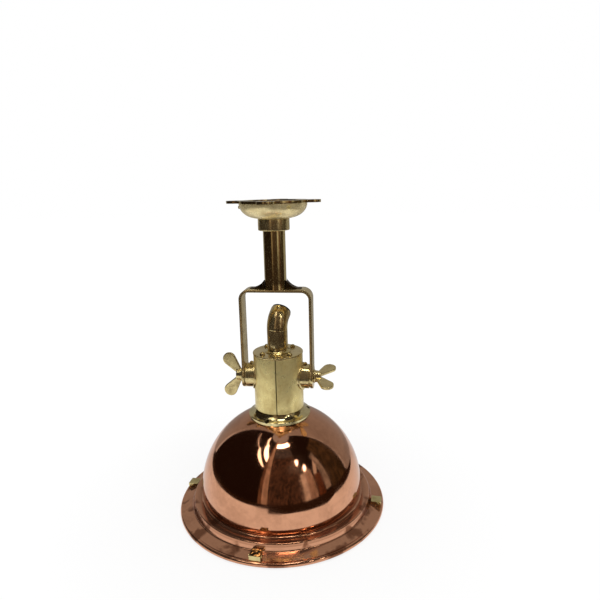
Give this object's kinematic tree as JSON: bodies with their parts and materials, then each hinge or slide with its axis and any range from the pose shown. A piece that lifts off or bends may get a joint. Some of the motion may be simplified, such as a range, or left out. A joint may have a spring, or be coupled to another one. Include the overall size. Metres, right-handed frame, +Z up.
{
  "type": "cargo pendant lantern",
  "caption": "Copper-shaded cargo pendant lantern on a brass yoke and stem, its head tilting between two wing bolts below a dished ceiling plate.",
  "frame": {"origin": "centre of the ceiling plate's top face, on the stem's axis", "axes": "+Z up along the stem, +X along the yoke and the tilt axis, +Y to the side that the cable inlet bends to"},
  "size_m": [0.254, 0.254, 0.3735],
  "materials": {
    "polished_brass": "polished",
    "pale_brass": "satin",
    "aged_brass": "tarnished",
    "dark_brass": "brazed and dull",
    "copper": "polished copper",
    "steel": "zinc plated",
    "bush_rubber": "matt",
    "porcelain": "glazed",
    "shell_brass": "stamped",
    "nickel": "plated",
    "opal_glass": "frosted"
  },
  "bodies": {
    "hanger": {"ceiling_plate": "aged_brass", "canopy_bowl": "polished_brass", "canopy_screws": "pale_brass", "stem_collar": "aged_brass", "stem_tube": "aged_brass", "stem_nut": "aged_brass", "stem_washer": "aged_brass", "stem_webs": "dark_brass", "yoke": "pale_brass"},
    "head": {"cap_sleeve": "pale_brass", "cap_lid": "pale_brass", "lid_ring": "aged_brass", "lid_screws": "aged_brass", "cap_skirt": "polished_brass", "skirt_screws": "aged_brass", "crown_ring": "aged_brass", "inlet_ferrule": "aged_brass", "inlet_tube": "aged_brass", "inlet_elbow": "aged_brass", "inlet_bush": "bush_rubber", "tilt_bosses": "pale_brass", "lock_screws": "aged_brass", "tilt_washers": "pale_brass", "shade": "copper", "rim_wire": "steel", "guard_lugs": "aged_brass", "guard_pins": "polished_brass", "lug_rivets": "aged_brass", "holder_bracket": "steel", "bracket_screws": "steel", "lamp_holder": "porcelain", "holder_screws": "steel", "socket_shell": "shell_brass", "centre_contact": "shell_brass", "terminals": "shell_brass", "terminal_screws": "steel", "bulb_cap": "nickel", "bulb_glass": "opal_glass"},
    "left_bolt": {"left_wing_bolt": "pale_brass"},
    "right_bolt": {"right_wing_bolt": "pale_brass"}
  },
  "joints": [
    {"name": "head_tilt", "type": "hinge", "parent": "hanger", "child": "head", "pos_m": [0, 0, -0.208], "axis": [1, 0, 0], "range_deg": [-90, 90]},
    {"name": "left_bolt_turn", "type": "hinge", "parent": "head", "child": "left_bolt", "pos_m": [-0.04, 0, -0.208], "axis": [-1, 0, 0], "range_deg": [0, 270]},
    {"name": "right_bolt_turn", "type": "hinge", "parent": "head", "child": "right_bolt", "pos_m": [0.04, 0, -0.208], "axis": [1, 0, 0], "range_deg": [0, 270]}
  ]
}
